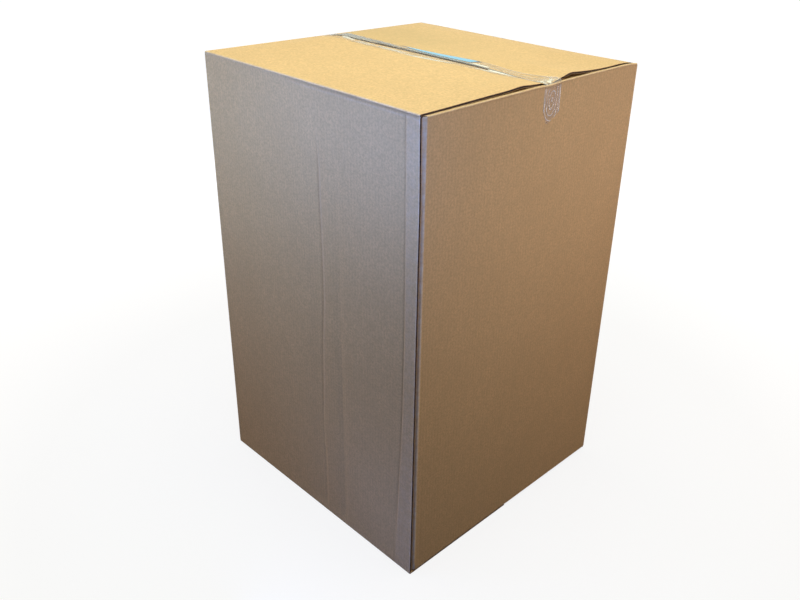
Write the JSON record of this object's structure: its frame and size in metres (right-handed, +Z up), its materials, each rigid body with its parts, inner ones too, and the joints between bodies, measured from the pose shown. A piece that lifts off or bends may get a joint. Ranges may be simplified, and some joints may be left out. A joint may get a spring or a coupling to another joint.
{
  "type": "closed cardboard box",
  "caption": "Tall slotted carton of corrugated board, closed and taped shut, with slightly bowed top flaps, a glued corner joint and a torn tape end.",
  "frame": {"origin": "middle of the underside, on the surface that the box stands on", "axes": "+Z up along the tall side; -Y is the front panel, whose cut edge shows at the glued corner; +X is the side panel with the torn tape end"},
  "size_m": [0.6104, 0.612, 0.9698],
  "materials": {
    "board": "uncoated brown paper liner on corrugated wood-fibre board, matte",
    "tape": "clear film with adhesive, glossy and a little wrinkled",
    "glue": "dried carton glue, hidden under the front panel"
  },
  "bodies": {
    "root": {"carton": "board", "top_tape": "tape", "bottom_tape": "tape", "joint_glue": "glue"}
  },
  "joints": []
}
